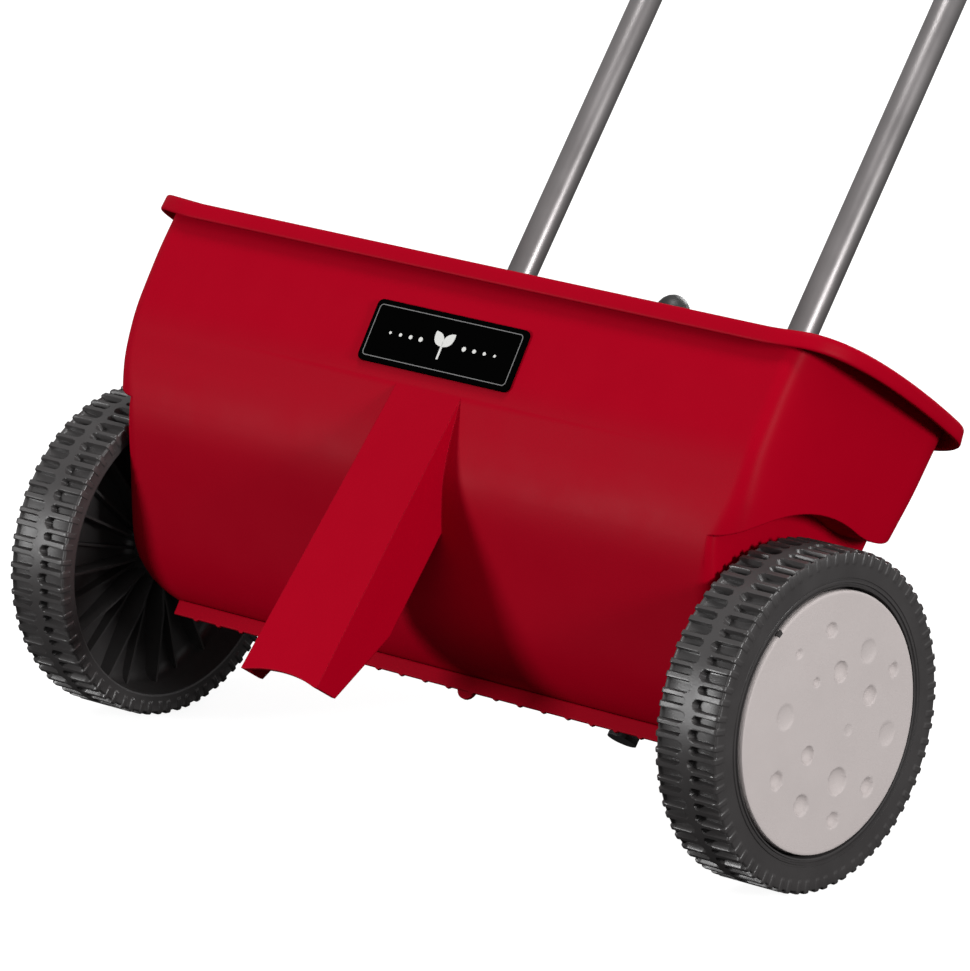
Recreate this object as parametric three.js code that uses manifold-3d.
// Garden drop spreader: tilted hopper on two wheels, dosing slide under it, lever behind it, two-part push handle.
// Millimetres, +Z up, origin on the ground under the middle of the axle, X along the axle, -Y is the front.
import * as THREE from 'three';
import Module from 'manifold-3d';

const wasm = await Module();
wasm.setup();

// ---- driving dimensions ----
const WHEEL_R = 100;            // wheel radius
const WHEEL_IN = 235;           // inner face of the tyre, from the middle
const WHEEL_OUT = 279.6;        // outer face of the tyre
const CAP_OUT = 280.7;          // outer face of the grey disc
const CAP_R = 77;               // radius of the grey disc
const TREADS = 36;              // tread blocks round each half of the tyre
const TILT = 33;                // hopper leans back by this many degrees while it is pushed
const RIM_Z = 192;              // rim height above the axle, measured square to the rim
const RIM_LIFT = 4;             // the rim's ends stand this much higher than its front
const RIM_DROP = 10.5;            // depth of the down-turned rim
const WALL = 3;                 // moulded wall
const ARCH = { y: -10, z: 1, r: 111 };         // wheel arch in the wide upper part
const FLOOR_Z = -31;            // underside of the hopper floor
const AXLE_R = 6;
const TUBE_X = 111.1;           // push tubes, either side of the middle
const TUBE_R = 9.25;
const TUBE_BORE = 8.05;
const TUBE_SLOPE = 52.7;        // push tubes above the horizontal
const TUBE_FOOT = 43.1;         // where the tube line crosses axle height, behind the axle
const TUBE_LOW = -30;           // lower end of the lower tube along its own line
const TUBE_JOINT = 560;         // upper end of the lower tube
const BOW_BEND = 48;            // centre-line radius of the bends in the upper bow
const BOW_TOP = 1108;           // centre line of the grip along the tube line
const HOLE_PITCH = 18.6;        // metering holes
const HOLES = 20;
const RAIL_HALF = 195;          // half length of the metering rails
const LEVER_PIVOT = { y: 60, z: 50 };
const PIN_DROP = 55;            // from the lever pivot down to the slide pin
const GAP = 0.3;                // running clearance between pieces

// ---- frames ----
const hopperFrame = new THREE.Matrix4().makeRotationX(THREE.MathUtils.degToRad(-TILT))
  .premultiply(new THREE.Matrix4().makeTranslation(0, 0, WHEEL_R));
const axleFrame = new THREE.Matrix4().makeTranslation(0, 0, WHEEL_R);
const tubeFoot = new THREE.Vector3(0, TUBE_FOOT, 0).applyMatrix4(hopperFrame);
const tubeFrame = new THREE.Matrix4().makeRotationX(THREE.MathUtils.degToRad(TUBE_SLOPE - 90))
  .premultiply(new THREE.Matrix4().makeTranslation(tubeFoot.x, tubeFoot.y, tubeFoot.z));
const hopperToTube = tubeFrame.clone().invert().multiply(hopperFrame);
const tubeToHopper = hopperToTube.clone().invert();

// ---- solids ----
function weld(geometry) {
  const source = geometry.index ? geometry.toNonIndexed() : geometry;
  const position = source.getAttribute('position');
  const seen = new Map(), points = [], tri = [];
  for (let i = 0; i < position.count; i++) {
    const p = [position.getX(i), position.getY(i), position.getZ(i)];
    const key = p.map((v) => Math.round(v * 2e4)).join();
    if (!seen.has(key)) { seen.set(key, points.length / 3); points.push(...p); }
    tri.push(seen.get(key));
  }
  const kept = [];
  for (let i = 0; i < tri.length; i += 3) {
    const [a, b, c] = [tri[i], tri[i + 1], tri[i + 2]];
    if (a !== b && b !== c && a !== c) kept.push(a, b, c);
  }
  return { points, kept };
}
function solid(geometry) {
  const { points, kept } = weld(geometry);
  return new wasm.Manifold(new wasm.Mesh({
    numProp: 3, vertProperties: new Float32Array(points), triVerts: new Uint32Array(kept),
  }));
}
const join = (...list) => list.reduce((a, b) => a.add(b));
const cut = (base, ...list) => list.reduce((a, b) => a.subtract(b), base);
const box = (x0, x1, y0, y1, z0, z1) =>
  solid(new THREE.BoxGeometry(x1 - x0, y1 - y0, z1 - z0).translate((x0 + x1) / 2, (y0 + y1) / 2, (z0 + z1) / 2));
const alongX = (r, x0, x1, y = 0, z = 0, n = 32, r2 = r) =>
  solid(new THREE.CylinderGeometry(r2, r, x1 - x0, n).rotateZ(-Math.PI / 2).translate((x0 + x1) / 2, y, z));
const alongY = (r, y0, y1, x = 0, z = 0, n = 24, r2 = r) =>
  solid(new THREE.CylinderGeometry(r2, r, y1 - y0, n).translate(x, (y0 + y1) / 2, z));
const alongZ = (r, z0, z1, x = 0, y = 0, n = 24, r2 = r) =>
  solid(new THREE.CylinderGeometry(r2, r, z1 - z0, n).rotateX(Math.PI / 2).translate(x, y, (z0 + z1) / 2));
// closed profile of [radius, x] pairs turned round the X axis
const turned = (profile, n = 48) =>
  solid(new THREE.LatheGeometry(profile.map(([r, x]) => new THREE.Vector2(r, x)), n).rotateZ(-Math.PI / 2));
// outline of [y, z] pairs pushed along X from x0 to x1
function prismX(outline, x0, x1) {
  const shape = new THREE.Shape(outline.map(([y, z]) => new THREE.Vector2(y, z)));
  const g = new THREE.ExtrudeGeometry(shape, { depth: x1 - x0, bevelEnabled: false, curveSegments: 8 });
  return solid(g.applyMatrix4(new THREE.Matrix4().makeBasis(
    new THREE.Vector3(0, 1, 0), new THREE.Vector3(0, 0, 1), new THREE.Vector3(1, 0, 0))).translate(x0, 0, 0));
}
// skin over closed rings of points, all with the same count, closed by flat ends
function loft(rings) {
  const n = rings[0].length, tri = [];
  const put = (...list) => list.forEach((p) => tri.push(...p));
  for (let k = 0; k + 1 < rings.length; k++) {
    for (let i = 0; i < n; i++) {
      const j = (i + 1) % n, a = rings[k], b = rings[k + 1];
      put(a[i], a[j], b[j], a[i], b[j], b[i]);
    }
  }
  for (const [ring, up] of [[rings[0], false], [rings[rings.length - 1], true]]) {
    const mid = [0, 1, 2].map((c) => ring.reduce((s, p) => s + p[c], 0) / n);
    for (let i = 0; i < n; i++) {
      const j = (i + 1) % n;
      if (up) put(mid, ring[i], ring[j]); else put(mid, ring[j], ring[i]);
    }
  }
  const g = new THREE.BufferGeometry();
  g.setAttribute('position', new THREE.Float32BufferAttribute(tri, 3));
  return solid(g);
}
function piece(name, body, frame) {
  const m = body.getMesh();
  const g = new THREE.BufferGeometry();
  g.setAttribute('position', new THREE.Float32BufferAttribute(Array.from(m.vertProperties), 3));
  g.setIndex(Array.from(m.triVerts));
  if (frame) g.applyMatrix4(frame);
  const mesh = new THREE.Mesh(g);
  mesh.name = name;
  part.add(mesh);
}
const turnBy = (body, matrix) => body.transform(matrix.elements.slice());

const part = new THREE.Group();
part.name = 'garden_spreader';
const sides = [['right', 1], ['left', -1]];

// ---- hopper profile ----
const along = (table, z) => {
  let i = 0;
  while (i < table.length - 2 && z > table[i + 1][0]) i++;
  const [z0, v0] = table[i], [z1, v1] = table[i + 1];
  return v0 + (v1 - v0) * (z - z0) / (z1 - z0);
};
// [height, y] down the front and back walls, and [height, half width]
const FRONT = [[-31, -22], [-29.5, -30], [-25, -38.5], [-16, -48], [3, -60], [24, -73], [45, -86.5],
  [58, -94.2], [70, -98.8], [85, -102.4], [120, -108.3], [160, -108.2], [175, -106.9], [191, -105.3]];
const BACK = [[-31, -3], [-30, 5], [-27, 15], [-22, 22], [-13, 28], [0, 31], [40, 34], [80, 38], [118, 42], [191, 50.5]];
const LOW_HALF = [[-31, 199], [-29, 208], [-25, 217], [-18, 227], [-8, 233], [10, 234], [30, 232.5], [85, 231], [120, 230]];
const LOW_CORNER = [[-31, 8], [-27, 12], [-20, 17], [-8, 19], [10, 18], [40, 12], [70, 6], [120, 5]];
const WIDE_FRONT = [[50, 237], [70, 242], [85, 246.2], [120, 247], [160, 247.8], [200, 248]];
const WIDE_BACK = [[50, 240], [85, 243], [115, 248], [150, 252], [200, 254]];
// plan outline at one height, a polygon with rounded corners: front corner (xf, yf) rounded by rf, the end's nose
// (xd, yd), and back corner (xb, yb) rounded by rb; the nose is rounded over the whole end
function plan({ xf, yf, rf, xd, yd, xb, yb, rb, z }) {
  const towards = (a, b, r) => {
    const d = Math.hypot(b[0] - a[0], b[1] - a[1]);
    return [a[0] + (b[0] - a[0]) * r / d, a[1] + (b[1] - a[1]) * r / d];
  };
  const front = [xf, yf], nose = [xd, yd], back = [xb, yb];
  const p1 = towards(front, nose, rf), p2 = towards(back, nose, rb);
  const s = new THREE.Shape();
  s.moveTo(-(xf - rf), yf);
  s.lineTo(xf - rf, yf);
  s.quadraticCurveTo(...front, ...p1);
  s.quadraticCurveTo(...nose, ...p2);
  s.quadraticCurveTo(...back, xb - rb, yb);
  s.lineTo(-(xb - rb), yb);
  s.quadraticCurveTo(-xb, yb, -p2[0], p2[1]);
  s.quadraticCurveTo(-xd, yd, -p1[0], p1[1]);
  s.quadraticCurveTo(-xf, yf, -(xf - rf), yf);
  const ring = s.extractPoints(5).shape;
  return ring.map((p) => [p.x, p.y, z]);
}
// wide upper part, from the wheel arches to the rim, pulled in by d for the inside
const upperRing = (z, d = 0) => {
  const xf = along(WIDE_FRONT, z);
  return plan({
    xf: xf - d, yf: along(FRONT, z) + d, rf: 9 - d / 2, xd: 254.5 - d, yd: -78,
    xb: along(WIDE_BACK, z) - d, yb: along(BACK, z) - d, rb: 25 - d / 2, z,
  });
};
const lowerRing = (z, d = 0, at = z) => {
  const x = along(LOW_HALF, z) - d, mid = Math.min(along(LOW_HALF, z), 225.5) - d;
  const yf = along(FRONT, z) + d, yb = along(BACK, z) - d;
  return plan({
    xf: x, yf, rf: Math.min(along(LOW_CORNER, z), 0.45 * (yb - yf)) - d / 4, xd: mid, yd: (yf + 2 * yb) / 3 - 8,
    xb: mid, yb, rb: Math.min(12, 0.4 * (yb - yf)) - d / 4, z: at,
  });
};
const lifted = (ring) => ring.map(([x, y, z]) => {
  const t = Math.min(1, Math.max(0, (Math.abs(x) - 222) / 40));
  return [x, y, z + RIM_LIFT * t * t * (3 - 2 * t)];
});
const rimRing = (z, d = 0) => {
  const flare = (RIM_Z - z) * 0.085;
  return lifted(plan({
    xf: 235 + flare - d, yf: -113 - flare + d, rf: 12 - d / 2, xd: 288 + flare - d, yd: -97,
    xb: 263 + flare - d, yb: 56 + flare - d, rb: 26 - d / 2, z,
  }));
};
const UPPER = [50, 70, 85, 120, 160, 175, 185];
const LOWER = [-31, -30, -27, -22, -13, -8, 3, 24, 45, 58, 70, 85, 120];
const floorLift = (z) => WALL * Math.min(1, Math.max(0, (-z - 4) / 27));
// wheel arch and the rounded corner behind it as a solid, grown by d on every side for the inside of the hopper
const archCut = (side, d) => {
  const reach = side > 0 ? [226.5 - d, 330] : [-330, -226.5 + d];
  const start = [1.6, 111.4 + d], bend = [47 - d, 110 + d], end = [46 - d, 146];
  const corner = [1, 2, 3, 4, 5, 6, 7, 8].map((k) => {
    const t = k / 8;
    return [0, 1].map((i) => (1 - t) ** 2 * start[i] + 2 * t * (1 - t) * bend[i] + t * t * end[i]);
  });
  return join(alongX(ARCH.r + d, ...reach, ARCH.y, ARCH.z, 84),
    prismX([[-4, 60], [-4, 111 + d], start, ...corner, [72, 146], [72, 60]], ...reach));
};

// ---- hopper tub with its moulded parking foot ----
const FOOT_OUT = [[-106.6, 113.5], [-136.6, -80.8], [-118.1, -80.8], [-104.8, -56.5], [-91.9, -32.4], [-87, -1.7],
  [-81, 36], [-88, 75], [-97, 112]];
const FOOT_IN = [[-101.5, 128], [-134.4, -86], [-90, -86], [-60, -34], [-60, 40], [-80, 128]];
function footTaper(body, wide) {
  return body.warp((v) => { v[0] *= wide * (0.85 + 0.15 * Math.min(1, (113 - v[2]) / 194)); });
}
const tubeLine = (r) => turnBy(alongZ(r, -60, 330, 0, 0, 24), tubeToHopper);
const shiftX = (body, x) => body.translate([x, 0, 0]);
// the tube line sits this far behind the axle at a height above it, in the hopper's own frame
const tubeY = (z) => TUBE_FOOT + z * Math.tan(THREE.MathUtils.degToRad(90 - TUBE_SLOPE - TILT));
const CLAMP_Z = [34, 148];
const CLAMP_HALF = 24;
const CLAMP_TALL = 20;

function hopperTub() {
  let wide = loft(UPPER.map((z) => upperRing(z, z > 50 ? 0 : 2)).concat([lifted(upperRing(RIM_Z - 1))]));
  let wideIn = loft(UPPER.concat([RIM_Z + 8]).map((z) => upperRing(z, z > 50 ? WALL : WALL + 2)));
  for (const [, side] of sides) {
    wide = wide.subtract(archCut(side, 0));
    wideIn = wideIn.subtract(archCut(side, WALL));
  }
  const low = loft(LOWER.map((z) => lowerRing(z)));
  const lowIn = loft(LOWER.map((z) => lowerRing(z, WALL, z + floorLift(z))));
  const rim = loft([RIM_Z - RIM_DROP, RIM_Z - 1.2, RIM_Z].map((z, i) => rimRing(z, i === 2 ? 1.2 : 0)));
  const rimIn = loft([RIM_Z - RIM_DROP - 2, RIM_Z - WALL].map((z) => rimRing(z, WALL - 0.4)));
  const skirt = loft([120, 150, 185].map((z) => upperRing(z)).concat([lifted(upperRing(RIM_Z + 1))]));
  // sockets on the back wall for the push tubes
  const pads = [], grooves = [];
  for (const [, side] of sides) {
    for (const z of CLAMP_Z) {
      const y = tubeY(z);
      pads.push(box(side * TUBE_X - CLAMP_HALF, side * TUBE_X + CLAMP_HALF, along(BACK, z) - 4, y - 0.2,
        z - CLAMP_TALL / 2 - 2, z + CLAMP_TALL / 2 + 2));
    }
    grooves.push(shiftX(tubeLine(TUBE_R + GAP), side * TUBE_X));
  }
  const channels = sides.map(([, side]) => shiftX(tubeLine(TUBE_R + GAP + WALL), side * TUBE_X));
  const inside = cut(join(wideIn, lowIn), ...channels);
  const bracketPad = box(-26, 26, along(BACK, 50) - 4, 49, 32, 68);
  const bearing = sides.map(([, s]) => alongX(19, Math.min(s * 214, s * 227), Math.max(s * 214, s * 227), 0, 0, 36));
  const footOuter = footTaper(prismX(FOOT_OUT, -1, 1), 30);
  const footInner = footTaper(prismX(FOOT_IN, -1, 1), 27.4);
  let tub = join(wide, low, rim.subtract(rimIn.subtract(skirt)), ...pads, bracketPad, ...bearing);
  // the foot is a channel, open behind and below, its front edge arched between two flat soles
  const footArch = alongY(94, -150, -130, 0, -170.8, 96);
  tub = join(tub, footOuter.subtract(footInner.subtract(low)).subtract(footArch));
  tub = cut(tub, inside, ...grooves);
  // slot in the floor over the metering holes, axle bores, screw bores
  tub = tub.subtract(box(-190, 190, -18.5, -7.5, FLOOR_Z - 1, FLOOR_Z + WALL + 2));
  tub = tub.subtract(alongX(8.8, -240, 240, 0, 0, 28));
  for (const ends of [[227, 240], [-240, -227]]) tub = tub.subtract(alongX(24, ...ends, 0, 0, 32));
  for (const [, side] of sides) {
    for (const z of CLAMP_Z) for (const dx of [-17, 17]) tub = tub.subtract(clampBore(side * TUBE_X + dx, z));
  }
  tub = tub.subtract(alongY(3.3, 40, 60, LEVER_PIVOT_X, LEVER_PIVOT.z, 16));
  return tub;
}
const LEVER_PIVOT_X = 0;
const clampBore = (x, z) => alongY(2.3, tubeY(z) - 14, tubeY(z) + 20, x, z, 10);

piece('hopper_tub', hopperTub(), hopperFrame);

// ---- badge on the sloping front wall ----
const frontLean = Math.atan((along(FRONT, 160) - along(FRONT, 120)) / 40);
const badgeFrame = new THREE.Matrix4().makeTranslation(0, along(FRONT, 139.8), 139.8)
  .multiply(new THREE.Matrix4().makeRotationX(-frontLean));
function plate(w, h, r, y0, y1) {
  const s = new THREE.Shape();
  s.moveTo(-w / 2 + r, -h / 2);
  s.lineTo(w / 2 - r, -h / 2); s.quadraticCurveTo(w / 2, -h / 2, w / 2, -h / 2 + r);
  s.lineTo(w / 2, h / 2 - r); s.quadraticCurveTo(w / 2, h / 2, w / 2 - r, h / 2);
  s.lineTo(-w / 2 + r, h / 2); s.quadraticCurveTo(-w / 2, h / 2, -w / 2, h / 2 - r);
  s.lineTo(-w / 2, -h / 2 + r); s.quadraticCurveTo(-w / 2, -h / 2, -w / 2 + r, -h / 2);
  const g = new THREE.ExtrudeGeometry(s, { depth: y1 - y0, bevelEnabled: false, curveSegments: 4 });
  return solid(g.rotateX(Math.PI / 2).translate(0, y1, 0));
}
piece('badge_plate', turnBy(plate(119, 38.8, 4, -2.2, -0.25), badgeFrame), hopperFrame);

// ---- metering parts under the floor ----
const HOLE_Y = -13.5;
const holeX = Array.from({ length: HOLES }, (_, i) => (i - (HOLES - 1) / 2) * HOLE_PITCH);
const punched = (body, r, dx = 0) => holeX.reduce((b, x) => b.subtract(alongZ(r, -45, -20, x + dx, HOLE_Y, 6)), body);
piece('metering_plate', punched(box(-RAIL_HALF, RAIL_HALF, -24.3, -3.8, -33.2, -31.2), 4.4), hopperFrame);
const pinZ = LEVER_PIVOT.z - PIN_DROP;
const tail = prismX([[-6, -35], [-3, -35], [50, -25.4], [50, -23], [-0.8, -33.4], [-6, -33.4]], -11, 11);
const slideArm = join(tail, box(-8, 8, 45, 50, -25.8, pinZ + 4), alongY(3.2, 49, 71, 0, pinZ, 16));
piece('dosing_slide', join(punched(box(-184, 184, -23.9, -4, -35, -33.4), 4.4, 5), slideArm), hopperFrame);
const nubs = Array.from({ length: 20 }, (_, i) => alongY(2.4, -26.5, -24.5, (i - 9.5) * HOLE_PITCH, -39.1, 8));
const catchTab = cut(alongY(7, -24.7, -22.7, 41, -37.9, 20), box(20, 60, -30, -20, -37, -28));
piece('guide_rail_front', join(box(-RAIL_HALF, RAIL_HALF, -26.5, -24.5, -40.3, -31.2),
  box(-RAIL_HALF, RAIL_HALF, -25, -20, -37.1, -35.3), ...nubs, catchTab), hopperFrame);
piece('guide_rail_back', cut(join(box(-RAIL_HALF, RAIL_HALF, -3.6, -1.6, -36.3, -31.2),
  box(-RAIL_HALF, RAIL_HALF, -8, -1.6, -36.3, -35.2)), box(-22, 22, -4, -1, -35.2, -30)), hopperFrame);

// ---- axle, agitator, bearings ----
piece('axle', cut(alongX(AXLE_R, -273, 273, 0, 0, 28), alongZ(2.2, -20, 20, 250, 0, 12)), axleFrame);
const fingers = Array.from({ length: 14 }, (_, i) => {
  const x = (i - 6.5) * 27, a = i * 50;
  return solid(new THREE.BoxGeometry(6, 6, 46).rotateX(THREE.MathUtils.degToRad(a)).translate(x, 0, 0));
});
piece('agitator', cut(join(alongX(10, -198, 198, 0, 0, 12), ...fingers), alongX(AXLE_R + 0.2, -210, 210, 0, 0, 16)),
  axleFrame);
for (const [name, side] of sides) {
  const flip = (a, b) => (side > 0 ? [a, b] : [-b, -a]);
  piece(`axle_bush_${name}`, cut(join(alongX(8.5, ...flip(213, 228), 0, 0, 20), alongX(15, ...flip(227.3, 229.6), 0, 0, 20)),
    alongX(AXLE_R + 0.2, -240, 240, 0, 0, 20)), axleFrame);
  piece(`wheel_washer_${name}`, cut(alongX(12, ...flip(229.9, 231.3), 0, 0, 20), alongX(AXLE_R + 0.2, -240, 240, 0, 0, 20)),
    axleFrame);
  piece(`push_on_cap_${name}`, cut(alongX(12, ...flip(268.4, 271.4), 0, 0, 20),
    alongX(AXLE_R + 0.1, -280, 280, 0, 0, 20)), axleFrame);
}
piece('drive_pin', alongZ(2, -13.5, 13.5, 250, 0, 12), axleFrame);

// ---- wheels ----
function gear(phase, x0, x1) {
  const step = (2 * Math.PI) / TREADS, deep = WHEEL_R - 6, pts = [];
  for (let i = 0; i < TREADS; i++) {
    const a = (i + phase) * step;
    for (const [r, f] of [[WHEEL_R, -0.17], [WHEEL_R, 0.17], [deep, 0.24], [deep, 0.76]]) {
      pts.push([r * Math.cos(a + f * step), r * Math.sin(a + f * step)]);
    }
  }
  return prismX(pts, x0, x1);
}
function wheel(side) {
  const mid = (WHEEL_IN + WHEEL_OUT) / 2;
  const web = turned([[6.3, 231.7], [16, 231.7], [18, 255], [26, 261], [91, 263], [91, 266.5], [20, 266.5],
    [18, 268], [6.3, 268], [6.3, 231.7]], 28);
  let tyre = join(gear(0, WHEEL_IN, mid - 3), gear(0.5, mid + 3, WHEEL_OUT),
    alongX(WHEEL_R / Math.cos(Math.PI / 72), mid - 3, mid + 3, 0, 0, 72));
  tyre = tyre.subtract(turned([[0, 232], [89.5, 232], [88.5, 264], [79, 264.5], [79, 282], [0, 282]], 36));
  const ribs = Array.from({ length: 9 }, (_, i) => solid(new THREE.BoxGeometry(22, 2.4, 75)
    .translate(252, 0, 52.5).rotateX((i * 2 * Math.PI) / 9)));
  let body = join(tyre, web, ...ribs);
  body = body.subtract(alongX(6.3, 225, 285, 0, 0, 20));
  if (side > 0) body = body.subtract(alongZ(2.3, -14, 14, 250, 0, 12));
  return side > 0 ? body : body.mirror([1, 0, 0]);
}
const cap = (side) => {
  const profile = [[0, CAP_OUT - 2.6], [72, CAP_OUT - 2.6], [72, 271], [75, 271], [CAP_R, 276], [CAP_R, CAP_OUT - 1.4],
    [CAP_R - 1.4, CAP_OUT], [0, CAP_OUT]];
  const body = turned(profile, 48);
  return side > 0 ? body : body.mirror([1, 0, 0]);
};
for (const [name, side] of sides) {
  piece(`wheel_${name}`, wheel(side), axleFrame);
  piece(`hub_cap_${name}`, cap(side), axleFrame);
}

// ---- push handle ----
const TUBE_SEG = 24;
for (const [name, side] of sides) {
  const x = side * TUBE_X;
  piece(`lower_tube_${name}`, cut(alongZ(TUBE_R, TUBE_LOW, TUBE_JOINT, x, 0, TUBE_SEG),
    alongZ(TUBE_BORE, TUBE_LOW - 1, TUBE_JOINT + 1, x, 0, TUBE_SEG), alongX(3.3, x - 20, x + 20, 0, TUBE_JOINT - 28, 12)),
  tubeFrame);
  piece(`tube_end_plug_${name}`, join(alongZ(TUBE_R, TUBE_LOW - 3.3, TUBE_LOW - GAP, x, 0, TUBE_SEG),
    alongZ(TUBE_BORE - 0.2, TUBE_LOW - 1, TUBE_LOW + 14, x, 0, TUBE_SEG)), tubeFrame);
  // saddle clamps and their screws, on the hopper's sockets
  CLAMP_Z.forEach((z, i) => {
    const y = tubeY(z), tag = ['low', 'high'][i];
    const saddle = cut(join(box(x - CLAMP_HALF, x + CLAMP_HALF, y + 0.1, y + 5, z - 10, z + 10),
      alongZ(13, z - 10, z + 10, x, y, 24)), box(x - 30, x + 30, y - 30, y + 0.1, z - 12, z + 12),
    shiftX(tubeLine(TUBE_R + GAP), x), clampBore(x - 17, z), clampBore(x + 17, z));
    piece(`tube_clamp_${tag}_${name}`, saddle, hopperFrame);
    for (const [end, dx] of [['inner', -17 * side], ['outer', 17 * side]]) {
      piece(`clamp_screw_${tag}_${end}_${name}`,
        join(alongY(4, y + 5.2, y + 7.4, x + dx, z, 12), alongY(2, y - 12, y + 6, x + dx, z, 10)), hopperFrame);
    }
  });
  piece(`joint_bolt_${name}`, join(alongX(3, ...(side > 0 ? [x - 22, x + 12] : [x - 12, x + 22]), 0, TUBE_JOINT - 28, 12),
    alongX(5.6, ...(side > 0 ? [x + 9.6, x + 13.4] : [x - 13.4, x - 9.6]), 0, TUBE_JOINT - 28, 12)), tubeFrame);
  const nutAt = side > 0 ? [x - 21, x - 10] : [x + 10, x + 21];
  const lobes = [0, 1, 2].map((i) => {
    const a = (i * 2 * Math.PI) / 3;
    return alongX(6, ...nutAt, 9 * Math.cos(a), TUBE_JOINT - 28 + 9 * Math.sin(a), 14);
  });
  piece(`star_nut_${name}`, cut(join(alongX(10, ...nutAt, 0, TUBE_JOINT - 28, 20), ...lobes),
    alongX(3.2, x - 30, x + 30, 0, TUBE_JOINT - 28, 12)), tubeFrame);
}
// upper bow: one tube bent twice, its swaged ends inside the lower tubes
function bowTube(r) {
  const b = BOW_BEND, steps = 8, path = [[-TUBE_X, TUBE_JOINT + 0.4, 0]];
  for (const [cx, from] of [[-TUBE_X + b, 0], [TUBE_X - b, 90]]) {
    for (let i = 0; i <= steps; i++) {
      const a = THREE.MathUtils.degToRad(from + (90 * i) / steps);
      path.push([cx - b * Math.cos(a), BOW_TOP - b + b * Math.sin(a), a]);
    }
  }
  path.push([TUBE_X, TUBE_JOINT + 0.4, Math.PI]);
  return loft(path.map(([x, z, a]) => Array.from({ length: 20 }, (_, k) => {
    const f = (k * 2 * Math.PI) / 20, out = r * Math.cos(f);
    return [x + out * Math.cos(a), r * Math.sin(f), z - out * Math.sin(a)];
  })));
}
let bow = bowTube(TUBE_R);
for (const [, side] of sides) {
  bow = join(bow, alongZ(TUBE_BORE - 0.35, TUBE_JOINT - 60, TUBE_JOINT + 12, side * TUBE_X, 0, TUBE_SEG));
  bow = bow.subtract(alongX(3.3, side * TUBE_X - 20, side * TUBE_X + 20, 0, TUBE_JOINT - 28, 12));
}
piece('handle_bow', bow, tubeFrame);
const gripBody = alongX(15, -60, 60, 0, BOW_TOP, 24);
piece('grip', cut(gripBody, alongX(TUBE_R + 0.25, -70, 70, 0, BOW_TOP, 24)), tubeFrame);

// ---- dosing lever on the back wall ----
const pz = LEVER_PIVOT.z;
const bracket = join(box(-34, 34, 49.3, 52.3, pz - 16, pz + 18), box(-30, 30, 49.3, 52.3, pz + 18, pz + 26));
piece('lever_bracket', cut(bracket, alongY(3.3, 40, 60, 0, pz, 16)), hopperFrame);
const armLow = join(box(-9, 9, 60, 64, pz, 172), alongY(13, 60, 64, 0, pz, 24),
  prismX([[60, 172], [64, 172], [77, 206], [77, 226], [73, 226], [73, 207]], -9, 9),
  box(-9, 9, 60, 64, pz - PIN_DROP - 8, pz));
const armSlot = join(alongY(3.5, 55, 70, 0, pz - PIN_DROP + 1.5, 16), alongY(3.5, 55, 70, 0, pz - PIN_DROP - 1.5, 16),
  box(-3.5, 3.5, 55, 70, pz - PIN_DROP - 1.5, pz - PIN_DROP + 1.5));
piece('lever_arm', cut(armLow, armSlot, alongY(3.3, 50, 70, 0, pz, 16)), hopperFrame);
piece('lever_spacer', cut(alongY(8, 52.6, 59.7, 0, pz, 20), alongY(3.3, 50, 70, 0, pz, 16)), hopperFrame);
piece('pivot_bolt', join(alongY(3, 41, 66, 0, pz, 16), alongY(6.5, 64.3, 68.5, 0, pz, 6)), hopperFrame);
const knob = cut(join(solid(new THREE.SphereGeometry(11, 24, 12).scale(1, 1, 0.9).translate(0, 75, 236)),
  alongZ(9, 209, 236, 0, 75, 24, 11)), box(-9.3, 9.3, 72.7, 77.3, 200, 226.3));
piece('lever_knob', knob, hopperFrame);

export default part;
